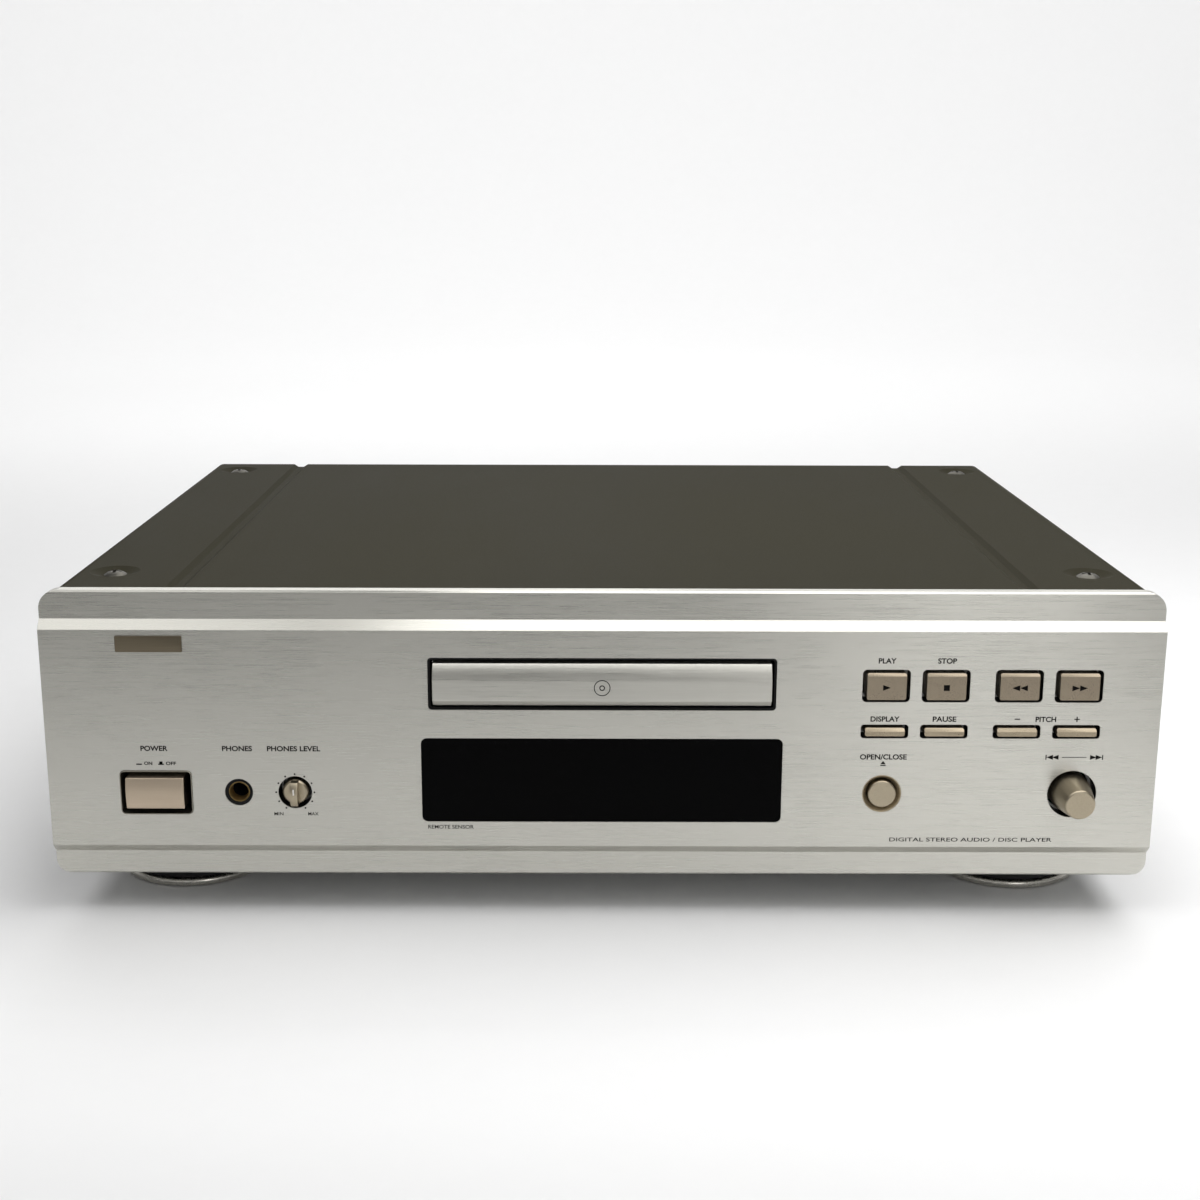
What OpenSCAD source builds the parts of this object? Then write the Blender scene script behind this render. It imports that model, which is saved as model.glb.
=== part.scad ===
// Full-width disc player with a motorised drawer, seen as an assembly of separate parts.
// Frame: X to the right, Y towards the rear, Z up, origin under the middle of the case.

/* [Case] */
// Width of the front panel
panel_w = 434; // [432:1:440]
// Depth from the proud front face to the rear panel's outer face
case_depth = 313; // [300:1:330]
// Overall height, feet included
overall_h = 133; // [132:0.5:136]
// Height of the feet
foot_h = 17; // [16:0.5:20]
// Width of the sheet steel cover
cover_w = 427; // [425:0.5:428]
// Thickness of the cover and chassis sheets
sheet = 1.2; // [1:0.1:1.4]

/* [Front panel] */
// Thickness of the panel behind its proud face
panel_back = 5.1; // [5:0.1:6]
// How far the main face stands proud of its two edge bands
face_step = 3.2; // [2.5:0.1:3.5]
// Depth of the panel's corner rounding at the top
top_corner_r = 7.5; // [6:0.5:9]
// Depth of the panel's corner rounding at the bottom
low_corner_r = 6; // [4:0.5:8]

/* [Drawer] */
// How far the drawer opens
drawer_travel = 135; // [120:1:135]
// Width of the drawer's front
door_w = 131.3; // [131:0.1:131.6]
// Width of the drawer itself
tray_w = 128; // [127.6:0.1:128]
// Distance of the disc's centre behind the front face
disc_y = 70; // [69:0.5:71]
// Diameter of the disc recess
disc_recess_d = 121; // [120.5:0.1:121.5]

/* [Controls] */
// Proud height of the skip knob
knob_reach = 12.7; // [11:0.1:14]
// Proud height of the rear sockets
jack_reach = 9.3; // [8.5:0.1:10]
// Travel of the small buttons
key_travel = 0.8; // [0.5:0.1:0.8]
// Travel of the power button
power_travel = 3; // [2:0.5:3]

/* [Hidden] */
$fn = 64;

case_overall = knob_reach + case_depth + jack_reach;
face_y = -case_overall / 2 + knob_reach;
gap = 0.1;

// Heights of the front panel's bands
panel_top = overall_h;
panel_low = foot_h;
face_top = 118.1;
bevel_top = 121.8;
face_low = 30.2;
bevel_low = 26.7;
panel_t = face_step + panel_back;
rear_in = case_depth - sheet;

// Cover
cover_top = panel_top - 0.5;
cover_r = 4.5;
cover_under = cover_top - sheet;
cover_in = cover_w / 2 - sheet;
groove_x = 166;
groove_depth = 1.45;
groove_mouth = 7.5;
groove_floor = 3;
cover_screw_x = 196.5;
cover_screw_y = [39, 293];
dish_r = 10;
dish_floor_r = 5.4;
dish_depth = 1.4;
screw_hole_r = 2;

// Feet
foot_x = 173.5;
foot_y = [59, 270];
foot_r = 29;
ring_r = 31;
pad_r = 24.9;
pad_h = 1.8;
foot_screw_z = 9;
foot_screw_hole_r = 2.1;
ring_low = 0.6;
ring_top = 3.6;

// Sub-panel
sub_t = 1.5;
sub_back = panel_t + sub_t;
plate_w = 423.6;

// Display window
window_w = 141.2;
window_low = 40.3;
window_top = 74.8;
window_r = 2.4;
window_z = (window_low + window_top) / 2;
window_h = window_top - window_low;

// Drawer opening, surround and door
mouth_w = 135;
mouth_low = 86.35;
mouth_top = 107.3;
mouth_z = (mouth_low + mouth_top) / 2;
mouth_h = mouth_top - mouth_low;
liner = 0.9;
door_low = 88.3;
door_top = 105.1;
door_reach = 2;
door_back = 5;

// Drawer
tray_back = 190;
tray_low = 88;
plate_low = 91;
tray_top = 96.6;
recess_floor = 94.2;
small_floor = 93;
small_r = 40.5;
slot_w = 44;
rail_w = 4;

// Loading drive: rack under the drawer's left rail, gears with upright axes
gear_m = 1;
pressure = 20;
backlash = 0.16;
addendum = 0.88;
rack_x = -57;
tray_teeth = 24;
pinion_teeth = 14;
tray_gear_x = rack_x + gear_m * tray_teeth / 2;
drive_y = 28;
pulley_x = tray_gear_x + gear_m * (tray_teeth + pinion_teeth) / 2;
gear_low = 88.2;
gear_top = 90.6;
pulley_low = 84;
pulley_top = 87.4;
pulley_r = 13;
motor_pulley_r = 4;
loader_x = 14;
loader_y = 36.5;
belt_side = 1.2;
belt_low = 85.1;
deck_low = 80;
deck_top = 82.5;

// Traverse: hinged at its rear, carries the spindle and the pickup
hinge_y = 165;
hinge_z = 82;
hinge_pin_r = 2;
trav_left = -40;
trav_right = 56;
trav_front = 54;
trav_back = 168;
trav_low = 84.5;
trav_top = 86.5;
rod_r = 1.5;
rod_x = 26;
rod_z = 82.2;
rod_y0 = 87;
rod_y1 = 154;
sled_y0 = 91;
sled_y1 = 117;
lens_y = 96;
sled_window_y0 = 87.5;
sled_window_y1 = 153;
sled_rack_x = 32;
sled_teeth = 14;
sled_gear_x = sled_rack_x + gear_m * sled_teeth / 2;
sled_gear_y = 126;
sled_travel = 33;
wheel_teeth = 26;
sled_motor_teeth = 10;
sled_motor_y = sled_gear_y + gear_m * (wheel_teeth + sled_motor_teeth) / 2;
sled_rack_low = 79.6;
sled_rack_top = 82.6;
wheel_low = 76.4;
wheel_top = 78.9;

// Spindle
spindle_r = 1.5;
platter_low = 93.4;
platter_top = 96.2;
hub_top = 99.2;
hub_r = 7.4;

// Clamp
bridge_low = 102;
bridge_top = 103.5;
puck_low = 97.8;
puck_mid = 101.5;
puck_neck_top = 104.1;
puck_top = 105.2;
puck_r = 14;
puck_neck_r = 11;

// Controls on the front: centres in X and Z
power_x = -174.8;
low_row_z = 52.4;
power_z = 52.2;
power_w = 28.4;
power_h = 18.1;
bezel_wall = 0.5;
power_cap_w = 22.8;
power_cap_h = 12.6;
power_cap_z = 52.6;
power_reach = 3.1;
jack_x = -142.4;
jack_bore_r = 3.25;
ring_seat_r = 4.3;
ring_end = 5.1;
funnel_end = 4.6;
jack_hole_r = 5.5;
level_x = -120.3;
level_hole_r = 6.6;
level_knob_r = 5.05;
rib_w = 2.9;
rib_half = 4.8;
rib_reach = 4.6;
rib_r = 7.6;
columns = [110, 133.1, 161.4, 184.6];
key_z = 96.45;
key_hole = [18.5, 13.1];
key_cap = [15.2, 10.6];
key_reach = 1.2;
key_slope = 1.1;
slim_z = 78;
slim_hole = [18.5, 5.6];
slim_cap = [15.4, 3.2];
slim_reach = 1.2;
slim_slope = 1.3;
open_hole_r = 7.7;
open_cap_r = 5.5;
skip_hole_r = 9.6;
skip_base_r = 8;
skip_tip_r = 5.9;

// Depths behind the front face
key_flange_y = 10.3;
key_flange_t = 1.5;
board_y = 22;
board_t = 1.6;
switch_body = 3.5;
switch_reach = 4.4;
stem_r = 1.6;
stem_end = board_y - switch_reach - key_travel - 0.4;
rod_end = 150;

// Chassis boards
floor_top = panel_low + sheet;
board_low = 27;
board_pillars = [[96, 70], [196, 70], [96, 280], [196, 280]];
pillar_r = 3;
pillar_neck_r = 2.4;
leg_w = 8;
flange_top = 62;
wall_x = cover_in - 0.3;
bracket_t = 1.2;
bracket_top = cover_under - dish_depth - 0.3;
loose = 0.05;

// ---------------------------------------------------------------- helpers

module at_face() {
    translate([0, face_y, 0]) children();
}

// Rounded rectangle about the origin
module round_rect(w, h, r) {
    square([w - 2 * r, h], center = true);
    square([w, h - 2 * r], center = true);
    for (sx = [-1, 1], sz = [-1, 1])
        translate([sx * (w / 2 - r), sz * (h / 2 - r)]) circle(r);
}

// Extrudes a shape drawn in X and Z from y0 back to y1
module slab(y0, y1) {
    translate([0, y1, 0]) rotate([90, 0, 0]) linear_extrude(y1 - y0) children();
}

// Extrudes a shape drawn in Y and Z along X, centred
module bar(w, x = 0) {
    translate([x - w / 2, 0, 0]) rotate([90, 0, 90]) linear_extrude(w) children();
}

module round_block(w, h, r, y0, y1, x = 0, z = 0) {
    slab(y0, y1) translate([x, z]) round_rect(w, h, r);
}

module peg_y(r, y0, y1, x = 0, z = 0) {
    translate([x, y1, z]) rotate([90, 0, 0]) cylinder(r = r, h = y1 - y0);
}

module cone_y(r0, r1, y0, y1, x = 0, z = 0) {
    translate([x, y0, z]) rotate([-90, 0, 0]) cylinder(r1 = r0, r2 = r1, h = y1 - y0);
}

module peg_z(r, z0, z1, x = 0, y = 0) {
    translate([x, y, z0]) cylinder(r = r, h = z1 - z0);
}

module peg_x(r, x0, x1, y = 0, z = 0) {
    translate([x0, y, z]) rotate([0, 90, 0]) cylinder(r = r, h = x1 - x0);
}

// Box given by two opposite corners
module block(low, high) {
    translate(low) cube(high - low);
}

module mirrored() {
    children();
    mirror([1, 0, 0]) children();
}

// Points on an arc about c from angle a0 to a1
function arc(c, r, a0, a1, n = 8) =
    [for (i = [0 : n]) c + r * [cos(a0 + (a1 - a0) * i / n), sin(a0 + (a1 - a0) * i / n)]];

// Involute gear outline: polar points up one flank and down the other
function inv_angle(a) = tan(a) * 180 / PI - a;
function flank_angle(r, rb) = r <= rb ? 0 : inv_angle(acos(rb / r));
function polar(r, a) = [r * cos(a), r * sin(a)];

module gear_outline(m, teeth, turn = 0) {
    rp = m * teeth / 2;
    rb = rp * cos(pressure);
    low = max(rb, rp - 0.9 * m);
    high = rp + addendum * m;
    radii = concat([rp - 1.2 * m], [for (k = [0 : 4]) low + (high - low) * k / 4]);
    half = 90 / teeth - backlash / rp * 90 / PI + inv_angle(pressure);
    polygon([
        for (i = [0 : teeth - 1])
            let (mid = turn + i * 360 / teeth)
            each concat(
                [for (r = radii) polar(r, mid - half + flank_angle(r, rb))],
                [for (k = [len(radii) - 1 : -1 : 0])
                    polar(radii[k], mid + half - flank_angle(radii[k], rb))]
            )
    ]);
}

// Rack teeth along +Y that point towards +X, with a gap centred on y = 0
module rack_outline(m, n_low, n_high, back) {
    pitch = PI * m;
    half = pitch / 4 - backlash / 2;
    tip = half - m * addendum * tan(pressure);
    root = half + m * 1.2 * tan(pressure);
    for (i = [n_low : n_high])
        translate([0, (i + 0.5) * pitch])
            polygon([
                [-1.2 * m - 0.01, -root], [addendum * m, -tip],
                [addendum * m, tip], [-1.2 * m - 0.01, root]
            ]);
    translate([-1.2 * m - back, n_low * pitch]) square([back, (n_high - n_low + 1) * pitch]);
}

// Dome headed screw along +Z with a cross recess, head under z = 0 .. head_h
module dome_screw(head_r, head_h, shank_r, shank_l) {
    ball = (head_r * head_r + head_h * head_h) / (2 * head_h);
    difference() {
        union() {
            intersection() {
                translate([0, 0, head_h - ball]) sphere(ball);
                cylinder(r = head_r, h = head_h + 1);
            }
            translate([0, 0, -shank_l]) cylinder(r = shank_r, h = shank_l);
        }
        for (a = [0, 90])
            rotate(a) translate([-head_r * 0.55, -head_r * 0.13, head_h * 0.35])
                cube([head_r * 1.1, head_r * 0.26, head_h]);
    }
}

// ---------------------------------------------------------------- case

// Front extrusion: proud face, two bevels and two recessed bands
module panel_section() {
    edge = 0.7;
    polygon([
        [0, face_low], [0, face_top], [face_step, bevel_top],
        [face_step, panel_top - edge], [face_step + edge, panel_top],
        [panel_t, panel_top], [panel_t, panel_low],
        [face_step + edge, panel_low], [face_step, panel_low + edge],
        [face_step, bevel_low]
    ]);
}

module panel_outline() {
    w = panel_w / 2;
    for (s = [-1, 1]) {
        translate([s * (w - top_corner_r), panel_top - top_corner_r]) circle(top_corner_r);
        translate([s * (w - low_corner_r), panel_low + low_corner_r]) circle(low_corner_r);
    }
    translate([-w + top_corner_r, panel_low + low_corner_r])
        square([panel_w - 2 * top_corner_r, panel_top - panel_low - low_corner_r]);
    translate([-w, panel_low + low_corner_r])
        square([panel_w, panel_top - panel_low - low_corner_r - top_corner_r]);
    translate([-w + low_corner_r, panel_low]) square([panel_w - 2 * low_corner_r, low_corner_r + 1]);
}

module front_panel() {
    color("#cfcdc4") at_face() difference() {
        intersection() {
            bar(panel_w + 2) panel_section();
            slab(-1, panel_t + 1) panel_outline();
        }
        round_block(mouth_w, mouth_h, 1.5, -1, panel_t + 1, 0, mouth_z);
        round_block(window_w, window_h, window_r, -1, panel_t + 1, 0, window_z);
        round_block(power_w, power_h, 2, -1, panel_t + 1, power_x, power_z);
        peg_y(jack_hole_r, -1, panel_t + 1, jack_x, low_row_z);
        peg_y(level_hole_r, -1, panel_t + 1, level_x, low_row_z);
        peg_y(open_hole_r, -1, panel_t + 1, columns[0], low_row_z);
        peg_y(skip_hole_r, -1, panel_t + 1, columns[3], low_row_z);
        for (x = columns) {
            round_block(key_hole.x, key_hole.y, 1.8, -1, panel_t + 1, x, key_z);
            round_block(slim_hole.x, slim_hole.y, 1.3, -1, panel_t + 1, x, slim_z);
        }
    }
}

// Outline of an upright plate that fills the space under the cover
module plate_outline() {
    difference() {
        cover_outline(plate_w, cover_under - 0.3, cover_r - sheet);
        translate([-plate_w / 2 - 1, floor_top - 1]) square([plate_w + 2, 1 + gap]);
        for (s = [-1, 1])
            translate([s * groove_x - groove_mouth / 2 - 1.5, cover_under - groove_depth - 0.3])
                square([groove_mouth + 3, groove_depth + 1]);
    }
}

// Steel plate behind the panel that carries the controls
module front_subpanel() {
    color("#9a9a96") at_face() difference() {
        slab(panel_t, sub_back) plate_outline();
        round_block(mouth_w + 0.2, mouth_h + 0.2, 1.5, panel_t - 1, sub_back + 1, 0, mouth_z);
        round_block(window_w + 9, window_h + 9, 3, panel_t - 1, sub_back + 1, 0, window_z);
        round_block(power_w + 0.4, power_h + 0.4, 2, panel_t - 1, sub_back + 1, power_x, power_z);
        peg_y(jack_hole_r + 1, panel_t - 1, sub_back + 1, jack_x, low_row_z);
        peg_y(level_knob_r + 1, panel_t - 1, sub_back + 1, level_x, low_row_z);
        peg_y(open_hole_r + 0.3, panel_t - 1, sub_back + 1, columns[0], low_row_z);
        peg_y(skip_base_r + 0.8, panel_t - 1, sub_back + 1, columns[3], low_row_z);
        for (x = columns) {
            round_block(key_cap.x + 0.8, key_cap.y + 0.8, 1.4, panel_t - 1, sub_back + 1, x, key_z);
            round_block(slim_cap.x + 0.8, slim_cap.y + 0.8, 1, panel_t - 1, sub_back + 1, x, slim_z);
        }
    }
}

module cover_outline(w, top, r) {
    translate([-w / 2 + r, top - 2 * r]) square([w - 2 * r, 2 * r]);
    translate([-w / 2, floor_top]) square([w, top - r - floor_top]);
    for (s = [-1, 1]) translate([s * (w / 2 - r), top - r]) circle(r);
}

module groove_outline(mouth, floor, depth) {
    polygon([[-mouth / 2, 0.01], [mouth / 2, 0.01], [floor / 2, -depth], [-floor / 2, -depth]]);
}

module cover_section() {
    difference() {
        union() {
            difference() {
                cover_outline(cover_w, cover_top, cover_r);
                translate([0, -0.01]) cover_outline(2 * cover_in, cover_under, cover_r - sheet);
            }
            for (s = [-1, 1]) translate([s * groove_x, cover_under])
                groove_outline(groove_mouth + sheet, groove_floor + sheet, groove_depth);
        }
        for (s = [-1, 1]) translate([s * groove_x, cover_top])
            groove_outline(groove_mouth, groove_floor, groove_depth);
    }
}

module at_cover_screws() {
    for (s = [-1, 1], y = cover_screw_y) translate([s * cover_screw_x, y, cover_top]) children();
}

// Folded steel cover with two pressed grooves and four dished screw seats
module top_cover() {
    color("#4a463c") at_face() difference() {
        union() {
            slab(panel_t, case_depth) cover_section();
            at_cover_screws() translate([0, 0, -dish_depth - sheet])
                cylinder(r1 = dish_floor_r + 1, r2 = dish_r, h = dish_depth + 0.2);
        }
        at_cover_screws() {
            translate([0, 0, -dish_depth]) cylinder(r1 = dish_floor_r, r2 = dish_r, h = dish_depth + 0.01);
            translate([0, 0, -5]) cylinder(r = screw_hole_r, h = 6);
        }
    }
}

module cover_screws() {
    color("#6b675d") at_face() at_cover_screws()
        translate([0, 0, -dish_depth]) dome_screw(4.6, 1.8, 1.9, 9);
}

// Floor, two side flanges, board pillars and brackets for the cover screws
module bottom_chassis() {
    color("#8f8f8a") at_face() {
        chassis_floor();
        for (s = [-1, 1])
            block([s * (wall_x - sheet / 2) - sheet / 2, sub_back + gap, floor_top + loose],
                  [s * (wall_x - sheet / 2) + sheet / 2, rear_in - gap, flange_top]);
        for (s = [-1, 1], y = cover_screw_y) cover_bracket(s, y);
        for (p = board_pillars) {
            peg_z(pillar_neck_r, panel_low + 0.2, floor_top + 0.1, p.x, p.y);
            peg_z(pillar_r, floor_top + loose, board_low, p.x, p.y);
        }
    }
}

module chassis_floor() {
    difference() {
        block([-wall_x, panel_t, panel_low], [wall_x, rear_in - gap, floor_top]);
        for (s = [-1, 1], y = foot_y)
            peg_z(foot_screw_hole_r, panel_low - 1, floor_top + 1, s * foot_x, y);
        for (p = board_pillars) peg_z(pillar_neck_r + loose, panel_low - 1, floor_top + 1, p.x, p.y);
        for (i = [0 : 8], s = [-1, 1])
            block([s * 90 - 18, 110 + i * 9, panel_low - 1], [s * 90 + 18, 113 + i * 9, floor_top + 1]);
    }
}

// L shaped strip inside a side flange, with a tab under a cover screw
module cover_bracket(side, y) {
    half = 5;
    outer = wall_x - sheet - loose;
    translate([0, y, 0]) mirror([side < 0 ? 1 : 0, 0, 0]) difference() {
        union() {
            block([outer - bracket_t, -half, floor_top + 12], [outer, half, bracket_top]);
            block([cover_screw_x - half, -half, bracket_top - bracket_t], [outer, half, bracket_top]);
        }
        peg_z(screw_hole_r, bracket_top - bracket_t - 1, bracket_top + 1, cover_screw_x, 0);
    }
}

rca_x = [140, 158];
rca_z = 62;
optical_x = 112;
inlet_x = -168;
inlet_z = 48;
inlet_w = 18;
inlet_h = 9.4;
rear_screw_pos = [[-205, 40], [-205, 118], [0, 124], [205, 118], [205, 40], [126, rca_z], [-100, 26]];

module rear_panel() {
    color("#3a3934") at_face() difference() {
        slab(rear_in, case_depth) plate_outline();
        for (x = rca_x) peg_y(6.2, rear_in - 1, case_depth + 1, x, rca_z);
        round_block(11, 11, 0.3, rear_in - 1, case_depth + 1, optical_x, rca_z);
        round_block(inlet_w + 4.2, inlet_h + 4.2, 2, rear_in - 1, case_depth + 1, inlet_x, inlet_z);
        for (p = rear_screw_pos) peg_y(1.6, rear_in - 1, case_depth + 1, p.x, p.y);
    }
}

module rear_screws() {
    color("#6b675d") at_face() for (p = rear_screw_pos)
        translate([p.x, case_depth, p.y]) rotate([-90, 0, 0]) dome_screw(3, 1.7, 1.5, 6);
}

module at_feet() {
    for (s = [-1, 1], y = foot_y) translate([s * foot_x, y, 0]) children();
}

module foot_bodies() {
    step_r = pad_r + 0.1;
    round_r = 1.5;
    spacer_r = foot_r - 3;
    color("#1c1c1c") at_face() at_feet() difference() {
        rotate_extrude() polygon(concat(
            [[0, pad_h], [step_r, pad_h], [step_r, ring_top]],
            [[foot_r - 0.4, ring_top], [foot_r, ring_top + 0.4]],
            arc([foot_r - round_r, foot_h - 0.2 - round_r], round_r, 0, 90, 5),
            [[spacer_r, foot_h - 0.2], [spacer_r, foot_h], [0, foot_h]]
        ));
        translate([0, 0, 1]) cylinder(r = 5.5, h = foot_screw_z - 1);
        cylinder(r = foot_screw_hole_r, h = foot_h + 1);
    }
}

// Plated trim ring with rounded edges
module foot_rings() {
    round_r = 1.1;
    inner_r = pad_r + 0.2;
    color("#b9b6ad") at_face() at_feet() rotate_extrude() polygon(concat(
        [[inner_r, ring_low]],
        arc([ring_r - round_r, ring_low + round_r], round_r, -90, 0, 4),
        arc([ring_r - round_r, ring_top - round_r], round_r, 0, 90, 4),
        [[inner_r, ring_top]]
    ));
}

module foot_pads() {
    color("#26251f") at_face() at_feet() difference() {
        cylinder(r = pad_r, h = pad_h);
        translate([0, 0, -1]) cylinder(r = 6, h = 4);
    }
}

module foot_screws() {
    color("#8c8a82") at_face() at_feet()
        translate([0, 0, foot_screw_z]) mirror([0, 0, 1]) dome_screw(4.4, 2.2, 1.95, foot_h - 2);
}

// ---------------------------------------------------------------- front fittings

module badge_plate() {
    color("#4d4536") at_face() round_block(25.8, 6.4, 0.4, -0.6, 0, power_x + 0.2, 112.6);
}

// Smoked window: a hollow plug with a flange behind the panel
module display_window() {
    color("#15151a") at_face() difference() {
        union() {
            round_block(window_w - 0.2, window_h - 0.2, window_r - 0.1, 0.5, panel_t, 0, window_z);
            round_block(window_w + 8, window_h + 8, 2.5, panel_t, sub_back, 0, window_z);
        }
        round_block(window_w - 5, window_h - 5, 1.5, 3.5, sub_back + 1, 0, window_z);
    }
}

// Glass display tube soldered to its board
module display_module() {
    color("#20242a") at_face() union() {
        block([-64, 11, 44], [64, 17.5, 71]);
        block([-60, 17.5, 46], [60, 18.8, 69]);
        block([-76, 18.8, 38], [76, 20.4, 79]);
    }
}

// Moulded liner of the drawer's opening
module drawer_surround() {
    color("#161616") at_face() difference() {
        union() {
            round_block(mouth_w - 0.1, mouth_h - 0.1, 1.45, 0.7, sub_back, 0, mouth_z);
            round_block(mouth_w + 5, mouth_h + 4, 1.5, sub_back, sub_back + 1.2, 0, mouth_z);
        }
        round_block(mouth_w - 2 * liner, mouth_h - 2 * liner, 1, -1, sub_back + 2, 0, mouth_z);
    }
}

module power_bezel() {
    inner_w = power_w - 2 * bezel_wall;
    inner_h = power_h - 2 * bezel_wall;
    color("#a9a393") at_face() difference() {
        round_block(power_w - 0.1, power_h - 0.1, 1.95, -0.5, sub_back, power_x, power_z);
        round_block(inner_w, inner_h, 1.5, -2, sub_back + 1, power_x, power_z);
    }
}

// Cap with a shallow crowned face and a stem
module power_button() {
    crown = 0.7;
    r = (power_cap_h * power_cap_h / 4 + crown * crown) / (2 * crown);
    half = asin(power_cap_h / 2 / r);
    color("#b0a08c") at_face() union() {
        bar(power_cap_w, power_x) polygon(concat(
            arc([-power_reach + r, power_cap_z], r, 180 + half, 180 - half, 10),
            [[8, power_cap_z + power_cap_h / 2], [8, power_cap_z - power_cap_h / 2]]
        ));
        block([power_x - 4, 8, low_row_z - 3], [power_x + 4, 14, low_row_z + 3]);
    }
}

// Long push rod from the button back to the mains switch
module power_link() {
    color("#e6e2d6") at_face() union() {
        block([power_x - 2.5, 14, low_row_z - 2.5], [power_x + 2.5, rod_end, low_row_z + 2.5]);
        block([power_x - 4, 14, low_row_z - 4], [power_x + 4, 16, low_row_z + 4]);
        block([power_x - 4, rod_end - 4, low_row_z - 4], [power_x + 4, rod_end, low_row_z + 4]);
    }
}

module power_switch() {
    plunger = rod_end + power_travel + 0.5;
    color("#3b3b3b") at_face() union() {
        block([power_x - 8, 158, low_row_z - 8], [power_x + 8, 190, low_row_z + 8]);
        block([power_x - 3, plunger, low_row_z - 3], [power_x + 3, 158, low_row_z + 3]);
        block([power_x - 6, 160, floor_top], [power_x + 6, 188, low_row_z - 8]);
    }
}

module phones_jack() {
    color("#141414") at_face() difference() {
        union() {
            peg_y(jack_hole_r - 0.1, 0.4, sub_back + 0.6, jack_x, low_row_z);
            block([jack_x - 7, sub_back + 0.5, low_row_z - 7], [jack_x + 7, 42, low_row_z + 7]);
        }
        peg_y(jack_bore_r, -1, 37, jack_x, low_row_z);
        peg_y(ring_seat_r, -1, ring_end, jack_x, low_row_z);
    }
}

// Plated ring that narrows like a funnel towards the bore
module phones_jack_ring() {
    ring_r = ring_seat_r - 0.05;
    color("#a4803a") at_face() difference() {
        union() {
            peg_y(ring_r, 0.9, ring_end, jack_x, low_row_z);
            cone_y(ring_r - 0.3, ring_r, 0.5, 0.9, jack_x, low_row_z);
        }
        peg_y(jack_bore_r, -1, ring_end + 1, jack_x, low_row_z);
        cone_y(3.85, jack_bore_r, 0.4, funnel_end, jack_x, low_row_z);
    }
}

// Small knob with a pointer rib across its face
module phones_level_knob() {
    color("#a89e88") at_face() union() {
        peg_y(level_knob_r, 0.6, 10.5, level_x, low_row_z);
        cone_y(level_knob_r - 0.7, level_knob_r, -0.1, 0.6, level_x, low_row_z);
        intersection() {
            block([level_x - rib_w / 2, -rib_reach - 1, low_row_z - rib_half],
                  [level_x + rib_w / 2, 0.5, low_row_z + rib_half]);
            translate([level_x, rib_r - rib_reach, low_row_z]) rotate([0, 90, 0])
                translate([0, 0, -rib_w]) cylinder(r = rib_r, h = 2 * rib_w);
        }
        peg_y(2.9, 10.5, 14.6, level_x, low_row_z);
    }
}

module phones_pot() {
    color("#5c6066") at_face() difference() {
        union() {
            block([level_x - 8, 13.2, low_row_z - 8], [level_x + 8, 25, low_row_z + 8]);
            block([level_x - 12, 25, low_row_z - 12], [level_x + 12, 26.6, low_row_z + 12]);
        }
        peg_y(2.95, 12, 15.4, level_x, low_row_z);
    }
}

module skip_knob() {
    color("#a59a82") at_face() union() {
        cone_y(skip_tip_r - 0.5, skip_tip_r, -knob_reach, -knob_reach + 0.5, columns[3], low_row_z);
        cone_y(skip_tip_r, skip_base_r, -knob_reach + 0.5, 1, columns[3], low_row_z);
        peg_y(skip_base_r, 1, 12, columns[3], low_row_z);
        peg_y(2.9, 12, 15.2, columns[3], low_row_z);
    }
}

module skip_encoder() {
    color("#5c6066") at_face() difference() {
        block([columns[3] - 7, 13.4, low_row_z - 7], [columns[3] + 7, board_y, low_row_z + 7]);
        peg_y(2.95, 13, 15.6, columns[3], low_row_z);
    }
}

// Button with a sloped top edge, a retaining flange and a stem
module key(x, z, size, reach, slope) {
    top = z + size.y / 2;
    low = z - size.y / 2;
    slope_y = slope * 0.8;
    union() {
        intersection() {
            round_block(size.x, size.y, 0.8, -reach, key_flange_y, x, z);
            bar(size.x + 2, x) polygon([
                [-reach + 0.2, low - 1], [-reach, low + 0.3], [-reach, top - slope],
                [-reach + slope_y, top], [-reach + slope_y, top + 1],
                [key_flange_y, top + 1], [key_flange_y, low - 1]
            ]);
        }
        block([x - size.x / 2 - 1.2, key_flange_y, low - 0.7],
              [x + size.x / 2 + 1.2, key_flange_y + key_flange_t, top + 0.7]);
        peg_y(stem_r, key_flange_y + key_flange_t, stem_end, x, z);
    }
}

module big_key(x) {
    key(x, key_z, key_cap, key_reach, key_slope);
}

module slim_key(x) {
    key(x, slim_z, slim_cap, slim_reach, slim_slope);
}

module play_button() {
    color("#8c7f69") at_face() big_key(columns[0]);
}

module stop_button() {
    color("#8c7f69") at_face() big_key(columns[1]);
}

module rewind_button() {
    color("#8c7f69") at_face() big_key(columns[2]);
}

module forward_button() {
    color("#8c7f69") at_face() big_key(columns[3]);
}

module display_button() {
    color("#a09376") at_face() slim_key(columns[0]);
}

module pause_button() {
    color("#a09376") at_face() slim_key(columns[1]);
}

module pitch_down_button() {
    color("#a09376") at_face() slim_key(columns[2]);
}

module pitch_up_button() {
    color("#a09376") at_face() slim_key(columns[3]);
}

// Round button set in a conical cup
module open_button() {
    color("#a59a82") at_face() union() {
        cone_y(open_cap_r - 0.4, open_cap_r, -0.8, -0.4, columns[0], low_row_z);
        peg_y(open_cap_r, -0.4, key_flange_y, columns[0], low_row_z);
        peg_y(open_cap_r + 1.2, key_flange_y, key_flange_y + key_flange_t, columns[0], low_row_z);
        peg_y(stem_r, key_flange_y + key_flange_t, stem_end, columns[0], low_row_z);
    }
}

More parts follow.
